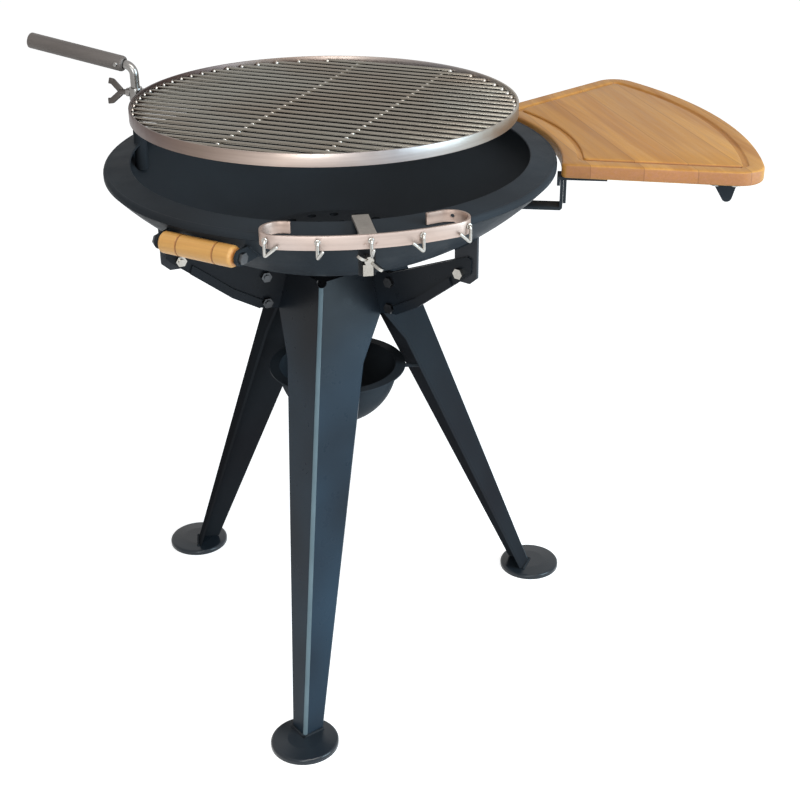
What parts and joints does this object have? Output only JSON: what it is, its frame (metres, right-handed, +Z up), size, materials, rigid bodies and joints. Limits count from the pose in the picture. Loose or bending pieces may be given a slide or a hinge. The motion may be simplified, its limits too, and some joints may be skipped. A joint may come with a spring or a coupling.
{
  "type": "barbecue grill",
  "caption": "Round fire bowl barbecue on a folded steel tripod, with a swinging rod grate, a tool rail with hooks, wooden carry handles, an ash pot and a wooden side board.",
  "frame": {"origin": "on the floor, under the centre of the fire bowl", "axes": "+Z up, -Y toward the front leg, +X toward the side board"},
  "size_m": [0.9769, 0.7819, 0.8744],
  "materials": {
    "black_enamel": "satin black",
    "stand_paint": "satin black",
    "raw_steel": "brushed",
    "zinc": "bright zinc",
    "grey_sleeve": "matte",
    "beech": "oiled",
    "beech_grip": "varnished"
  },
  "bodies": {
    "stand_and_bowl": {"fire_bowl": "black_enamel", "bowl_tabs": "stand_paint", "post_socket": "black_enamel", "handle_lugs": "stand_paint", "handle_rods": "zinc", "board_brackets": "stand_paint", "leg_front": "stand_paint", "leg_right": "stand_paint", "leg_left": "stand_paint", "foot_front": "stand_paint", "foot_right": "stand_paint", "foot_left": "stand_paint", "root_bolts": "stand_paint", "root_spacers": "stand_paint", "root_nuts": "stand_paint", "tip_bolts": "zinc", "tip_nuts": "zinc", "pot_pins": "stand_paint", "tool_rail": "raw_steel", "rail_bracket": "raw_steel", "rail_rivets": "zinc", "square_screw": "zinc"},
    "charcoal_plate": {"charcoal_plate": "black_enamel", "plate_knob": "black_enamel"},
    "ash_pot": {"ash_pot": "black_enamel"},
    "swing_post": {"swing_post": "raw_steel", "grip_tube": "grey_sleeve", "grip_rivet": "zinc"},
    "cooking_grate": {"grate_ring": "raw_steel", "grate_rods": "raw_steel", "grate_cross_bars": "raw_steel", "grate_sleeve": "raw_steel"},
    "grate_wing_screw": {"grate_wing_screw": "zinc"},
    "rail_wing_screw": {"rail_wing_screw": "zinc"},
    "front_grip": {"front_grip": "beech_grip"},
    "rear_grip": {"rear_grip": "beech_grip"},
    "side_board": {"side_board": "beech", "board_hooks": "stand_paint", "board_lugs": "stand_paint", "board_screws": "zinc"},
    "hook_1": {"hook_1": "zinc"},
    "hook_2": {"hook_2": "zinc"},
    "hook_3": {"hook_3": "zinc"},
    "hook_4": {"hook_4": "zinc"},
    "hook_5": {"hook_5": "zinc"}
  },
  "joints": [
    {"name": "charcoal_plate_lift", "type": "slide", "parent": "stand_and_bowl", "child": "charcoal_plate", "axis": [0, 0, 1], "range_m": [0, 0.1]},
    {"name": "ash_pot_lift", "type": "slide", "parent": "stand_and_bowl", "child": "ash_pot", "axis": [0, 0, 1], "range_m": [0, 0.035]},
    {"name": "grate_swing", "type": "hinge", "parent": "stand_and_bowl", "child": "swing_post", "pos_m": [-0.26663, 0.01397, 0.74], "axis": [0, 0, 1], "range_deg": [-110, 110]},
    {"name": "grate_height", "type": "slide", "parent": "swing_post", "child": "cooking_grate", "axis": [0, 0, 1], "range_m": [-0.04, 0.012]},
    {"name": "grate_screw_turn", "type": "hinge", "parent": "cooking_grate", "child": "grate_wing_screw", "pos_m": [-0.26663, 0.01397, 0.805], "axis": [-0.9877, 0.1564, 0], "range_deg": [-180, 180]},
    {"name": "rail_screw_turn", "type": "hinge", "parent": "stand_and_bowl", "child": "rail_wing_screw", "pos_m": [0.09765, -0.30053, 0.709], "axis": [0.309, -0.9511, 0], "range_deg": [-180, 180]},
    {"name": "hook_1_swing", "type": "hinge", "parent": "stand_and_bowl", "child": "hook_1", "pos_m": [-0.01428, -0.3407, 0.741], "axis": [-0.0419, -0.9991, 0], "range_deg": [-30, 30]},
    {"name": "hook_2_swing", "type": "hinge", "parent": "stand_and_bowl", "child": "hook_2", "pos_m": [0.04628, -0.33785, 0.741], "axis": [0.1357, -0.9907, 0], "range_deg": [-30, 30]},
    {"name": "hook_3_swing", "type": "hinge", "parent": "stand_and_bowl", "child": "hook_3", "pos_m": [0.10537, -0.32431, 0.741], "axis": [0.309, -0.9511, 0], "range_deg": [-30, 30]},
    {"name": "hook_4_swing", "type": "hinge", "parent": "stand_and_bowl", "child": "hook_4", "pos_m": [0.16114, -0.30052, 0.741], "axis": [0.4726, -0.8813, 0], "range_deg": [-30, 30]},
    {"name": "hook_5_swing", "type": "hinge", "parent": "stand_and_bowl", "child": "hook_5", "pos_m": [0.21181, -0.26724, 0.741], "axis": [0.6211, -0.7837, 0], "range_deg": [-30, 30]},
    {"name": "front_grip_spin", "type": "hinge", "parent": "stand_and_bowl", "child": "front_grip", "pos_m": [-0.10873, -0.27746, 0.702], "axis": [0.9311, -0.3649, 0], "continuous": true},
    {"name": "rear_grip_spin", "type": "hinge", "parent": "stand_and_bowl", "child": "rear_grip", "pos_m": [0.10873, 0.27746, 0.702], "axis": [-0.9311, 0.3649, 0], "continuous": true},
    {"name": "board_lift", "type": "slide", "parent": "stand_and_bowl", "child": "side_board", "axis": [0, 0, 1], "range_m": [0, 0.045]}
  ]
}
